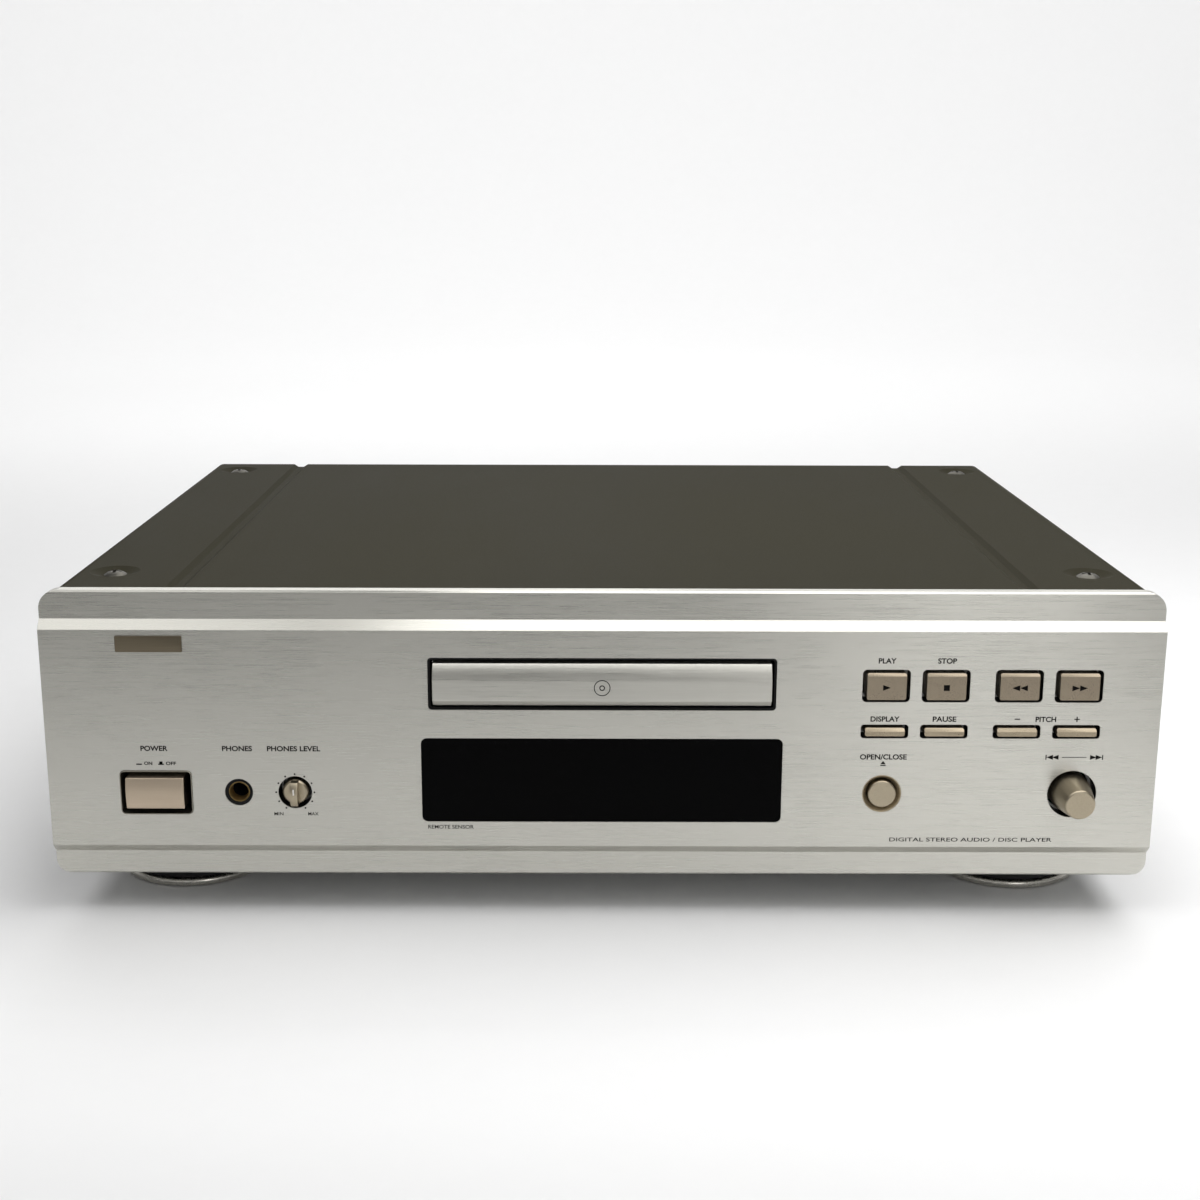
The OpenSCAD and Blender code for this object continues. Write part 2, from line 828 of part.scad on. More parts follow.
module open_button_cup() {
    cup_r = open_hole_r - 0.05;
    color("#6e614a") at_face() difference() {
        peg_y(cup_r, 0, sub_back, columns[0], low_row_z);
        cone_y(cup_r - 0.3, open_cap_r + 0.5, -0.01, 1.8, columns[0], low_row_z);
        peg_y(open_cap_r + 0.5, -1, sub_back + 1, columns[0], low_row_z);
    }
}

module control_board() {
    color("#2d5b3a") at_face() difference() {
        block([97, board_y, 40], [199, board_y + board_t, 107]);
        for (x = [101, 195], z = [68, 103]) peg_y(1.6, board_y - 1, board_y + 3, x, z);
    }
}

module tact_switches() {
    places = concat(
        [for (x = columns) [x, key_z]],
        [for (x = columns) [x, slim_z]],
        [[columns[0], low_row_z]]
    );
    color("#4a4a4a") at_face() for (p = places) {
        block([p.x - 3, board_y - switch_body, p.y - 3], [p.x + 3, board_y, p.y + 3]);
        peg_y(stem_r, board_y - switch_reach, board_y - switch_body, p.x, p.y);
    }
}

// ---------------------------------------------------------------- disc mechanism

// Deck, drawer guides and legs
module mech_frame() {
    wall_in = tray_w / 2 + 0.4;
    wall_out = wall_in + 2.6;
    color("#2b2b2c") at_face() difference() {
        union() {
            block([-wall_out, 13, deck_low], [wall_out, 198, deck_top]);
            for (s = [-1, 1]) {
                block([min(s * wall_in, s * wall_out), 13, deck_low],
                      [max(s * wall_in, s * wall_out), 198, 98.4]);
                for (y = [16, 176]) block([min(s * (wall_in - 2.6), s * wall_out), y, 97],
                                          [max(s * (wall_in - 2.6), s * wall_out), y + 18, 98.4]);
                for (y = [23, 184]) block([s * 60 - leg_w / 2, y, floor_top],
                                          [s * 60 + leg_w / 2, y + leg_w, deck_low]);
            }
            peg_z(2.5, deck_top - 0.1, 83.8, tray_gear_x, drive_y);
            peg_z(2.5, deck_top - 0.1, 83.8, pulley_x, drive_y);
            peg_z(1.5, 83.7, 90.5, tray_gear_x, drive_y);
            peg_z(1.5, 83.7, 90.5, pulley_x, drive_y);
            for (x = [trav_left - 6.5, trav_right + 1.5])
                block([x, hinge_y - 5, deck_low - 3.5], [x + 5, hinge_y + 5, 87]);
        }
        block([trav_left - 1.5, trav_front - 4, deck_low - 10],
              [trav_right + 1.5, trav_back + 2, deck_top + 10]);
        peg_x(hinge_pin_r + 0.05, trav_left - 8, trav_right + 8, hinge_y, hinge_z);
        peg_z(2.2, deck_low - 1, deck_top + 1, loader_x, loader_y);
    }
}

// Sliding drawer with two disc recesses, a spindle slot and a rack
module disc_tray() {
    last_tooth = ceil(drawer_travel / (PI * gear_m)) + 3;
    color("#232325") at_face() difference() {
        union() {
            block([-tray_w / 2, door_back, plate_low], [tray_w / 2, tray_back, tray_top]);
            for (s = [-1, 1]) {
                x = s * (tray_w / 2 - rail_w / 2);
                block([x - rail_w / 2, door_back, tray_low], [x + rail_w / 2, tray_back, plate_low + 0.1]);
            }
            translate([0, 0, tray_low]) linear_extrude(gear_top - tray_low + 0.6)
                translate([rack_x, drive_y]) rack_outline(gear_m, -5, last_tooth, 3.5);
        }
        peg_z(disc_recess_d / 2, recess_floor, tray_top + 1, 0, disc_y);
        peg_z(small_r, small_floor, tray_top + 1, 0, disc_y);
        block([-slot_w / 2, disc_y, tray_low - 1], [slot_w / 2, tray_back + 1, tray_top + 1]);
        peg_z(slot_w / 2, tray_low - 1, tray_top + 1, 0, disc_y);
    }
}

// Drawer front: flat below, curving back towards its top edge, with a chamfered foot
module tray_door() {
    curve_h = 7;
    curve_in = 2.4;
    r = (curve_h * curve_h + curve_in * curve_in) / (2 * curve_in);
    turn = asin(curve_h / r);
    color("#d2d0c8") at_face() bar(door_w) polygon(concat(
        [[0, door_low], [-door_reach, door_low + 2.3]],
        arc([-door_reach + r, door_top - curve_h], r, 180, 180 - turn, 12),
        [[door_back, door_top], [door_back, door_low]]
    ));
}

module loading_motor() {
    color("#9c9c98") at_face() union() {
        peg_z(12, 61, deck_low, loader_x, loader_y);
        peg_z(1, deck_low, 88.4, loader_x, loader_y);
        peg_z(2.1, deck_low, deck_top, loader_x, loader_y);
    }
}

module pulley_body(r, low, high) {
    rim = 0.9;
    difference() {
        cylinder(r = r, h = high - low);
        translate([0, 0, rim]) difference() {
            cylinder(r = r + 1, h = high - low - 2 * rim);
            translate([0, 0, -1]) cylinder(r = r - belt_side, h = high);
        }
    }
}

module motor_pulley() {
    color("#d9d4c6") at_face() translate([loader_x, loader_y, pulley_low]) difference() {
        pulley_body(motor_pulley_r, pulley_low, pulley_top);
        translate([0, 0, -1]) cylinder(r = 1.04, h = 10);
    }
}

module belt_loop(extra) {
    hull() {
        translate([pulley_x, drive_y]) circle(pulley_r - belt_side + extra);
        translate([loader_x, loader_y]) circle(motor_pulley_r - belt_side + extra);
    }
}

module drive_belt() {
    color("#111111") at_face() translate([0, 0, belt_low]) linear_extrude(belt_side) difference() {
        belt_loop(belt_side);
        belt_loop(0.1);
    }
}

module pulley_gear() {
    color("#d9d4c6") at_face() translate([pulley_x, drive_y, 0]) difference() {
        union() {
            translate([0, 0, pulley_low]) pulley_body(pulley_r, pulley_low, pulley_top);
            translate([0, 0, pulley_top]) linear_extrude(gear_top - pulley_top)
                gear_outline(gear_m, pinion_teeth, 180 + 180 / pinion_teeth);
        }
        peg_z(1.56, pulley_low - 1, gear_top + 1);
    }
}

module tray_gear() {
    color("#e2ddd0") at_face() translate([tray_gear_x, drive_y, 0]) difference() {
        union() {
            translate([0, 0, gear_low]) linear_extrude(gear_top - gear_low)
                gear_outline(gear_m, tray_teeth, 180);
            peg_z(3.2, pulley_low, gear_low);
        }
        peg_z(1.56, pulley_low - 1, gear_top + 1);
    }
}

// Hinged plate under the disc
module traverse_plate() {
    color("#7e7f80") at_face() difference() {
        union() {
            block([trav_left, trav_front, trav_low], [trav_right, trav_back, trav_top]);
            for (x = [-rod_x, rod_x], y = [rod_y0, rod_y1 - 3])
                block([x - 3, y, rod_z - 3], [x + 3, y + 3, trav_low + 0.1]);
            block([trav_left, hinge_y - 3, 79], [trav_left + 2, trav_back, trav_low + 0.1]);
            block([trav_right - 2, hinge_y - 3, 79], [trav_right, trav_back, trav_low + 0.1]);
            peg_x(hinge_pin_r, trav_left - 6, trav_left + 1, hinge_y, hinge_z);
            peg_x(hinge_pin_r, trav_right - 1, trav_right + 6, hinge_y, hinge_z);
            peg_z(1.5, wheel_low - 0.6, trav_low + 0.1, sled_gear_x, sled_gear_y);
        }
        block([-rod_x - 5.5, sled_window_y0 + 3, trav_low - 1], [rod_x + 8, rod_y1 - 3.5, trav_top + 1]);
        for (x = [-rod_x, rod_x]) peg_y(rod_r, rod_y0 - 1, rod_y1 + 1, x, rod_z);
        peg_z(5, trav_low - 1, trav_top + 1, 0, disc_y);
        peg_z(1.2, trav_low - 1, trav_top + 1, sled_gear_x, sled_motor_y);
    }
}

module spindle_motor() {
    color("#a5a5a0") at_face() union() {
        peg_z(13, 75, trav_low, 0, disc_y);
        peg_z(4.9, trav_low, trav_top, 0, disc_y);
        peg_z(spindle_r, trav_top, platter_low + 1, 0, disc_y);
    }
}

module turntable() {
    bore_top = platter_low + 1.2;
    color("#1f1f20") at_face() translate([0, disc_y, 0]) difference() {
        rotate_extrude() polygon(concat(
            [[0, platter_low - 5], [4, platter_low - 5], [4, platter_low], [14.5, platter_low]],
            [[15, platter_low + 0.5], [15, platter_top], [8.5, platter_top], [8.5, platter_top - 0.8]],
            [[hub_r, platter_top - 0.8], [hub_r, platter_top + 1], [5.2, hub_top], [0, hub_top]]
        ));
        peg_z(spindle_r + 0.04, platter_low - 6, bore_top);
    }
}

module guide_rods() {
    color("#c4c4c0") at_face() for (x = [-rod_x, rod_x]) peg_y(rod_r, rod_y0, rod_y1, x, rod_z);
}

// Pickup carriage on two rods, with a rack along its right side
module pickup_sled() {
    first_tooth = -ceil(sled_travel / (PI * gear_m)) - 2;
    color("#3c3d40") at_face() difference() {
        union() {
            block([-29, sled_y0, 80], [28.4, sled_y1, 84.2]);
            block([-14, sled_y0, 84.1], [14, sled_y1 - 4, 91.5]);
            translate([0, 0, sled_rack_low]) linear_extrude(sled_rack_top - sled_rack_low)
                translate([sled_rack_x, sled_gear_y]) rack_outline(gear_m, first_tooth, 1, 1.4);
            block([27, sled_y0 + 2, sled_rack_low], [30.6, sled_y1 - 2, sled_rack_top]);
        }
        for (x = [-rod_x, rod_x]) peg_y(rod_r + 0.06, sled_y0 - 1, sled_y1 + 1, x, rod_z);
        peg_z(4.6, 86, 93, 0, lens_y);
    }
}

module pickup_lens() {
    color("#6c7f96") at_face() union() {
        peg_z(4.55, 86, 92.2, 0, lens_y);
        peg_z(2.6, 92.2, 93.4, 0, lens_y);
    }
}

// Small motor hung from the traverse by one upright wall
module sled_motor() {
    can_r = 7;
    plate_low = wheel_low - 1.2;
    wall_in = sled_gear_x + can_r + 0.6;
    wall_out = wall_in + 1.4;
    color("#9c9c98") at_face() union() {
        peg_z(can_r, 60, plate_low, sled_gear_x, sled_motor_y);
        peg_z(1, plate_low, wheel_top + 0.6, sled_gear_x, sled_motor_y);
        block([sled_gear_x - 5, sled_motor_y - can_r, plate_low],
              [wall_out, sled_motor_y + can_r, wheel_low - 0.4]);
        block([wall_in, sled_motor_y - 2, plate_low], [wall_out, sled_motor_y + can_r, trav_low]);
    }
}

module sled_motor_gear() {
    color("#d9d4c6") at_face() translate([sled_gear_x, sled_motor_y, 0]) difference() {
        translate([0, 0, wheel_low]) linear_extrude(wheel_top - wheel_low)
            gear_outline(gear_m, sled_motor_teeth, 270);
        peg_z(1.04, wheel_low - 1, wheel_top + 1);
    }
}

// Wheel and pinion on one hub
module sled_gear() {
    color("#e2ddd0") at_face() translate([sled_gear_x, sled_gear_y, 0]) difference() {
        union() {
            translate([0, 0, wheel_low]) linear_extrude(wheel_top - wheel_low)
                gear_outline(gear_m, wheel_teeth, 90 + 180 / wheel_teeth);
            translate([0, 0, wheel_top]) linear_extrude(sled_rack_top - wheel_top)
                gear_outline(gear_m, sled_teeth, 180);
        }
        peg_z(1.56, wheel_low - 1, sled_rack_top + 1);
    }
}

module clamp_bridge() {
    color("#8f8f8a") at_face() difference() {
        union() {
            block([-67, 52, bridge_low], [67, 88, bridge_top]);
            for (s = [-1, 1]) block([s * 65.7 - 1.3, 52, 98.4], [s * 65.7 + 1.3, 88, bridge_low + 0.1]);
        }
        peg_z(puck_neck_r + 0.6, bridge_low - 1, bridge_top + 1, 0, disc_y);
    }
}

module clamp_puck() {
    color("#cfcabc") at_face() translate([0, disc_y, 0]) difference() {
        union() {
            peg_z(puck_r, puck_low, puck_mid);
            peg_z(puck_neck_r, puck_mid, puck_neck_top);
            peg_z(puck_r - 1, puck_neck_top, puck_top);
        }
        peg_z(8.6, puck_low - 1, hub_top + 0.8);
    }
}

// ---------------------------------------------------------------- electrics

module main_board() {
    color("#2d5b3a") at_face() difference() {
        block([90, 64, board_low], [203, 286, board_low + board_t]);
        for (p = board_pillars) peg_z(1.5, board_low - 1, board_low + 3, p.x, p.y);
    }
}

module board_parts() {
    top = board_low + board_t;
    color("#3b4a6b") at_face() {
        for (i = [0 : 3]) peg_z(8, top, top + 30, 104 + i * 22, 100);
        for (i = [0 : 5], j = [0 : 1]) peg_z(4, top, top + 12, 108 + i * 15, 240 + j * 14);
        for (i = [0 : 2]) block([104 + i * 30, 132, top], [126 + i * 30, 146, top + 4]);
        block([120, 168, top], [156, 204, top + 3]);
        block([170, 170, top], [184, 198, top + 10]);
        for (i = [0 : 7]) block([100, 180 + i * 5, top], [112, 182.4 + i * 5, top + 22]);
        block([99, 180, top], [101, 217.4, top + 22]);
    }
}

// Laminated core, bobbin and mounting frame
module power_transformer() {
    cx = -150;
    cy = 240;
    color("#57534b") at_face() union() {
        difference() {
            block([cx - 32, cy - 14, floor_top + 3], [cx + 32, cy + 14, 74]);
            for (s = [-1, 1]) block([cx + s * 15.5 - 5, cy - 16, 36], [cx + s * 15.5 + 5, cy + 16, 62]);
        }
        block([cx - 20, cy - 22, 36.2], [cx + 20, cy + 22, 61.8]);
        block([cx - 40, cy - 16, floor_top], [cx + 40, cy + 16, floor_top + 3]);
    }
}

// Phono pair, optical output and two-pin mains inlet in one node
module rear_sockets() {
    tip = case_depth + jack_reach;
    color("#2a2a2a") at_face() {
        for (x = rca_x) difference() {
            union() {
                peg_y(4.15, case_depth - 1, tip, x, rca_z);
                peg_y(6.1, rear_in - 0.8, case_depth + 0.8, x, rca_z);
                block([x - 7, rear_in - 14, rca_z - 8], [x + 7, rear_in - 0.8, rca_z + 8]);
            }
            peg_y(1.7, case_depth - 4, tip + 1, x, rca_z);
        }
        difference() {
            block([optical_x - 5.4, rear_in - 12, rca_z - 5.4],
                  [optical_x + 5.4, case_depth + 1.4, rca_z + 5.4]);
            block([optical_x - 3.6, case_depth - 9, rca_z - 3.6],
                  [optical_x + 3.6, case_depth + 3, rca_z + 3.6]);
        }
        difference() {
            union() {
                round_block(inlet_w + 4, inlet_h + 4, 1.9, rear_in - 16, case_depth + 1, inlet_x, inlet_z);
                round_block(inlet_w + 8, inlet_h + 7, 2.5, case_depth, case_depth + 1.8, inlet_x, inlet_z);
            }
            round_block(inlet_w, inlet_h, inlet_h / 2 - 0.2,
                        case_depth - 13, case_depth + 3, inlet_x, inlet_z);
        }
        for (s = [-1, 1]) peg_y(1.2, case_depth - 14, case_depth - 1, inlet_x + s * 4.3, inlet_z);
    }
}

// ---------------------------------------------------------------- assembly

front_panel();
front_subpanel();
top_cover();
bottom_chassis();
rear_panel();
cover_screws();
rear_screws();
foot_bodies();
foot_rings();
foot_pads();
foot_screws();
badge_plate();
display_window();
display_module();
drawer_surround();
power_bezel();
power_button();
power_link();
power_switch();
phones_jack();
phones_jack_ring();
phones_level_knob();
phones_pot();
skip_knob();
skip_encoder();
play_button();
stop_button();
rewind_button();
forward_button();
display_button();
pause_button();
pitch_down_button();
pitch_up_button();
open_button();
open_button_cup();
control_board();
tact_switches();
mech_frame();
disc_tray();
tray_door();
loading_motor();
motor_pulley();
drive_belt();
pulley_gear();
tray_gear();
traverse_plate();
spindle_motor();
turntable();
guide_rods();
pickup_sled();
pickup_lens();
sled_motor();
sled_motor_gear();
sled_gear();
clamp_bridge();
clamp_puck();
main_board();
board_parts();
power_transformer();
rear_sockets();
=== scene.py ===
import math

import bmesh
import bpy
from mathutils import Matrix, Vector


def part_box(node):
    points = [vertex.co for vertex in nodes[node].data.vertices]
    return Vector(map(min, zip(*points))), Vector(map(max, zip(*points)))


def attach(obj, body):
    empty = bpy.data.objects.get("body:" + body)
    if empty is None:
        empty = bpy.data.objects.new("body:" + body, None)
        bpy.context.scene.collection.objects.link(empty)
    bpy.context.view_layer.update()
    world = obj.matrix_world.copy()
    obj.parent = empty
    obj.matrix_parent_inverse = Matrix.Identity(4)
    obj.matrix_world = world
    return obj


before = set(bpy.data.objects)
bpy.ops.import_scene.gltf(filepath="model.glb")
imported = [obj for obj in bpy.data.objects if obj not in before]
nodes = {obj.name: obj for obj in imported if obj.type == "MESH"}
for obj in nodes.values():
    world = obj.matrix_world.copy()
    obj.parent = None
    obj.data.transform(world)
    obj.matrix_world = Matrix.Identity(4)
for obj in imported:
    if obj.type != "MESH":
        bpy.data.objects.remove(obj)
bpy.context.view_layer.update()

MM = 0.001
scene = bpy.context.scene


def middle(node):
    """The centre of a node's box."""
    low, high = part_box(node)
    return (low + high) / 2


# The plate lies on the panel's main face, so its far side is where that face is
FACE_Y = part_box("badge_plate")[1].y
PANEL_LOW, PANEL_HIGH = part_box("front_panel")


# ---------------------------------------------------------------- camera

# Where the camera is: in front of the main face, above the panel's top and beside the middle
CAMERA_BACK = 635 * MM
CAMERA_RISE = 151 * MM
CAMERA_SIDE = -6 * MM
# Degrees that it looks down and leans
PITCH = 13.6
ROLL = 0.14
# Focal length and sensor width in millimetres, and the sideways shift as a share of the width
LENS = 51.3
SENSOR = 36
SHIFT_X = 0.0110
NEAREST = 10 * MM


def make_camera():
    data = bpy.data.cameras.new("camera")
    data.lens = LENS
    data.sensor_width = SENSOR
    data.shift_x = SHIFT_X
    data.clip_start = NEAREST
    camera = bpy.data.objects.new("camera", data)
    scene.collection.objects.link(camera)
    place = Vector((CAMERA_SIDE, FACE_Y - CAMERA_BACK, PANEL_HIGH.z + CAMERA_RISE))
    tilt = Matrix.Rotation(math.radians(90 - PITCH), 4, "X")
    lean = Matrix.Rotation(math.radians(ROLL), 4, "Z")
    camera.matrix_world = Matrix.Translation(place) @ tilt @ lean
    scene.camera = camera


# ---------------------------------------------------------------- material tools


class Recipe:
    """A node material while it is put together."""

    INPUTS = {
        "color": "Base Color", "metallic": "Metallic", "roughness": "Roughness",
        "specular": "Specular IOR Level", "aniso": "Anisotropic", "tangent": "Tangent",
        "coat": "Coat Weight", "normal": "Normal",
    }

    def __init__(self, name):
        self.material = bpy.data.materials.new(name)
        self.material.use_nodes = True
        self.tree = self.material.node_tree
        self.shader = self.tree.nodes["Principled BSDF"]
        self.coords = self.add("ShaderNodeTexCoord").outputs["Object"]

    def add(self, kind, inputs=None, **settings):
        """A new node; an input is given a value, or the socket that feeds it."""
        node = self.tree.nodes.new(kind)
        for key, value in settings.items():
            setattr(node, key, value)
        for key, value in (inputs or {}).items():
            self.put(node.inputs[key], value)
        return node

    def put(self, socket, value):
        if isinstance(value, bpy.types.NodeSocket):
            self.tree.links.new(value, socket)
        else:
            socket.default_value = value

    def set(self, **inputs):
        """Sets or feeds the shader's inputs, by their short names."""
        for key, value in inputs.items():
            self.put(self.shader.inputs[self.INPUTS[key]], value)

    def noise(self, scale, detail=4.0, rough=0.55, shift=(0, 0, 0)):
        """Noise in object space; scale is in cells per metre along X, Y and Z."""
        mapped = self.add("ShaderNodeMapping", {
            "Vector": self.coords, "Location": shift, "Scale": scale})
        made = self.add("ShaderNodeTexNoise", {
            "Vector": mapped.outputs[0], "Scale": 1.0, "Detail": detail, "Roughness": rough})
        return made.outputs[0]

    def spread(self, value, low, high, start=0.3, end=0.7):
        """Maps a value's range from start to end onto the range from low to high."""
        made = self.add("ShaderNodeMapRange", {
            "Value": value, "From Min": start, "From Max": end, "To Min": low, "To Max": high})
        return made.outputs[0]

    def mix(self, factor, one, two):
        """One colour at factor 0 and the other at factor 1."""
        made = self.add("ShaderNodeMix", data_type="RGBA")
        factor_in, one_in, two_in, color_out = 0, 6, 7, 2
        self.put(made.inputs[factor_in], factor)
        self.put(made.inputs[one_in], one)
        self.put(made.inputs[two_in], two)
        return made.outputs[color_out]

    def math(self, operation, one, two):
        made = self.add("ShaderNodeMath", operation=operation)
        self.put(made.inputs[0], one)
        self.put(made.inputs[1], two)
        return made.outputs[0]

    def inside(self, low, high):
        """1 inside a box in object space, given as its corners, and 0 outside."""
        place = self.add("ShaderNodeSeparateXYZ", {"Vector": self.coords}).outputs
        factor = 1.0
        for axis in range(3):
            above = self.math("GREATER_THAN", place[axis], low[axis])
            below = self.math("LESS_THAN", place[axis], high[axis])
            factor = self.math("MULTIPLY", factor, above)
            factor = self.math("MULTIPLY", factor, below)
        return factor

    def bump(self, height, strength, distance):
        made = self.add("ShaderNodeBump", {
            "Height": height, "Strength": strength, "Distance": distance})
        return made.outputs[0]


def rgba(color, gain=1.0):
    """A colour with each channel multiplied by gain, as a shader takes it."""
    return (color[0] * gain, color[1] * gain, color[2] * gain, 1.0)


# Cells per metre along X, Y and Z: the scratches run along X
FINE_SCRATCHES = (55, 4600, 4600)
COARSE_SCRATCHES = (22, 1300, 1300)
BLOTCHES = (14, 14, 22)
# The way across the scratches, in which the shine is drawn out
ACROSS = {"X": 0, "Y": 0.3, "Z": 1}
# Painted shade: the near-black colour of the walls inside the panel's openings, where shade falls
RECESS_SHADE_BLACK = (0.006, 0.006, 0.006)


def brushed_metal(name, color, roughness, aniso, contrast=0.08, blotch=0.04, shaded_holes=None):
    """Metal with long fine scratches along X, faint blotches and rubbed spots.

    If given, the last argument is a box, as its low and high corners: surfaces inside it get painted
    shade, near-black, matt and not metal.
    """
    r = Recipe(name)
    scratch = r.noise(FINE_SCRATCHES, 3)
    band = r.noise(COARSE_SCRATCHES, 5, 0.6)
    cloud = r.noise(BLOTCHES, 3)
    grain = r.math("ADD", r.math("MULTIPLY", scratch, 0.6), r.math("MULTIPLY", band, 0.4))
    dark, light = rgba(color, 1 - contrast), rgba(color, 1 + contrast * 0.6)
    tone = r.mix(r.spread(grain, 0, 1, 0.35, 0.65), dark, light)
    tone = r.mix(r.spread(cloud, 0, 1), tone, rgba(color, 1 + blotch))
    tangent = r.add("ShaderNodeCombineXYZ", ACROSS).outputs[0]
    scratched = r.spread(grain, roughness - 0.035, roughness + 0.055, 0.35, 0.65)
    polish = r.math("ADD", scratched, r.spread(cloud, -0.015, 0.02))
    r.set(color=tone, metallic=1.0, roughness=polish, aniso=aniso, tangent=tangent,
          normal=r.bump(grain, 0.12, 0.02 * MM))
    # Painted shade: surfaces in the box are made near-black, matt and not metal, for the shade in the
    # openings
    if shaded_holes:
        inside = r.inside(*shaded_holes)
        matt = r.math("MULTIPLY", inside, 0.7)
        r.set(color=r.mix(inside, tone, rgba(RECESS_SHADE_BLACK)),
              metallic=r.math("SUBTRACT", 1.0, inside),
              roughness=r.math("MAXIMUM", polish, matt))
    return r.material


def spun_metal(name, color, roughness):
    """Turned or plated metal with a fine even grain and faint clouds."""
    r = Recipe(name)
    grain = r.noise((2600, 2600, 2600), 3)
    cloud = r.noise((120, 120, 120), 3)
    tone = r.mix(r.spread(grain, 0, 1), rgba(color, 0.93), rgba(color, 1.05))
    grained = r.spread(grain, roughness - 0.04, roughness + 0.06)
    polish = r.math("ADD", grained, r.spread(cloud, -0.03, 0.03))
    r.set(color=tone, metallic=1.0, roughness=polish, normal=r.bump(grain, 0.1, 0.02 * MM))
    return r.material


def painted_steel(name, color, roughness, specular):
    """Baked enamel: fine orange peel, faint dust and wiped marks."""
    r = Recipe(name)
    peel = r.noise((2300, 2300, 2300), 2, 0.5)
    dust = r.noise((900, 900, 900), 6, 0.7, (3, 1, 2))
    wipe = r.noise((10, 3.5, 10), 4)
    tone = r.mix(r.spread(wipe, 0, 1), rgba(color, 0.92), rgba(color, 1.09))
    tone = r.mix(r.spread(dust, 0, 0.5, 0.66, 0.8), tone, rgba(color, 1.8))
    peeled = r.spread(peel, roughness - 0.04, roughness + 0.05)
    polish = r.math("ADD", peeled, r.spread(wipe, -0.03, 0.03))
    r.set(color=tone, specular=specular, roughness=polish, normal=r.bump(peel, 0.22, 0.03 * MM))
    return r.material


def moulded_plastic(name, color, roughness, grain=1500, relief=0.25, mottle=0.1, specular=0.5):
    """Moulded plastic with a fine spark-eroded skin."""
    r = Recipe(name)
    skin = r.noise((grain, grain, grain), 3)
    cloud = r.noise((60, 60, 60), 3)
    tone = r.mix(r.spread(cloud, 0, 1), rgba(color, 1 - mottle), rgba(color, 1 + mottle))
    polish = r.spread(skin, roughness - 0.06, roughness + 0.08)
    r.set(color=tone, roughness=polish, specular=specular, normal=r.bump(skin, relief, 0.03 * MM))
    return r.material


DUST = (0.05, 0.05, 0.047)


def glossy_window(name, color, roughness=0.06):
    """Polished smoked acrylic with fine dust and hairline wipe marks."""
    r = Recipe(name)
    dust = r.noise((1500, 1500, 1500), 4, 0.7)
    wipe = r.noise((25, 25, 900), 3)
    tone = r.mix(r.spread(dust, 0, 0.2, 0.7, 0.82), rgba(color), rgba(DUST))
    polish = r.spread(wipe, roughness - 0.02, roughness + 0.05)
    r.set(color=tone, roughness=polish, specular=0.03, normal=r.bump(wipe, 0.01, 0.01 * MM))
    return r.material


def metallic_lacquer(name, color, roughness):
    """Metallic lacquer: tiny flakes under a satin skin."""
    r = Recipe(name)
    flake = r.noise((4200, 4200, 4200), 2, 0.5)
    rub = r.noise((160, 160, 160), 4)
    tone = r.mix(r.spread(flake, 0, 1), rgba(color, 0.88), rgba(color, 1.12))
    tone = r.mix(r.spread(rub, 0, 0.35, 0.55, 0.8), tone, rgba(color, 1.15))
    flaked = r.spread(flake, roughness - 0.05, roughness + 0.05)
    polish = r.math("ADD", flaked, r.spread(rub, -0.03, 0.04))
    r.set(color=tone, metallic=0.85, roughness=polish, normal=r.bump(flake, 0.08, 0.02 * MM))
    return r.material


def soft_rubber(name, color):
    """Matt rubber or felt with a coarse skin."""
    r = Recipe(name)
    skin = r.noise((1800, 1800, 1800), 4)
    tone = r.mix(r.spread(skin, 0, 1), rgba(color, 0.8), rgba(color, 1.4))
    r.set(color=tone, specular=0.3, roughness=r.spread(skin, 0.7, 0.9),
          normal=r.bump(skin, 0.4, 0.05 * MM))
    return r.material


def circuit_board(name, color):
    """Solder mask over copper tracks."""
    r = Recipe(name)
    place = r.add("ShaderNodeMapping", {"Vector": r.coords, "Scale": (260, 260, 260)}).outputs[0]
    tracks = r.add("ShaderNodeTexBrick", {
        "Vector": place, "Scale": 1.0, "Mortar Size": 0.12, "Mortar": rgba(color, 1.9),
        "Color1": rgba(color, 0.8), "Color2": rgba(color, 1.1)})
    speck = r.noise((700, 700, 700), 2)
    tone = r.mix(r.spread(speck, 0, 0.5, 0.6, 0.8), tracks.outputs[0], rgba(color, 0.6))
    r.set(color=tone, roughness=r.spread(speck, 0.25, 0.4), specular=0.5)
    return r.material


def clear_glass(name, color):
    """Dark tinted glass with a faint smear."""
    r = Recipe(name)
    smear = r.noise((200, 200, 200), 3)
    tone = r.mix(r.spread(smear, 0, 1), rgba(color, 0.9), rgba(color, 1.1))
    r.set(color=tone, roughness=r.spread(smear, 0.02, 0.08), specular=0.6, coat=0.5)
    return r.material


# Y of the greyer strip of floor, from front to back: it fades in between the first two and
# out between the last two
STRIP_START, STRIP_FULL, STRIP_FADES, STRIP_END = -2.0, -1.3, -0.9, -0.24


def paper_floor(name, color, front):
    """Matt paper with a greyer strip across it in front of the object."""
    r = Recipe(name)
    fibre = r.noise((60, 60, 60), 4)
    along = r.add("ShaderNodeSeparateXYZ", {"Vector": r.coords}).outputs[1]
    behind = r.spread(along, 0, 1, STRIP_FADES, STRIP_END)
    before = r.spread(along, 1, 0, STRIP_START, STRIP_FULL)
    tone = r.mix(r.math("MAXIMUM", behind, before), rgba(front), rgba(color))
    tone = r.mix(r.spread(fibre, 0, 1), tone, r.mix(0.01, tone, rgba(front)))
    r.set(color=tone, roughness=0.8, specular=0.1)
    return r.material


# ---------------------------------------------------------------- materials

SILVER = (0.55, 0.54, 0.495)
CHAMPAGNE = (0.52, 0.43, 0.33)
BRONZE = (0.30, 0.25, 0.185)
OLIVE = (0.0265, 0.0240, 0.0142)
BLACK = (0.014, 0.014, 0.0145)
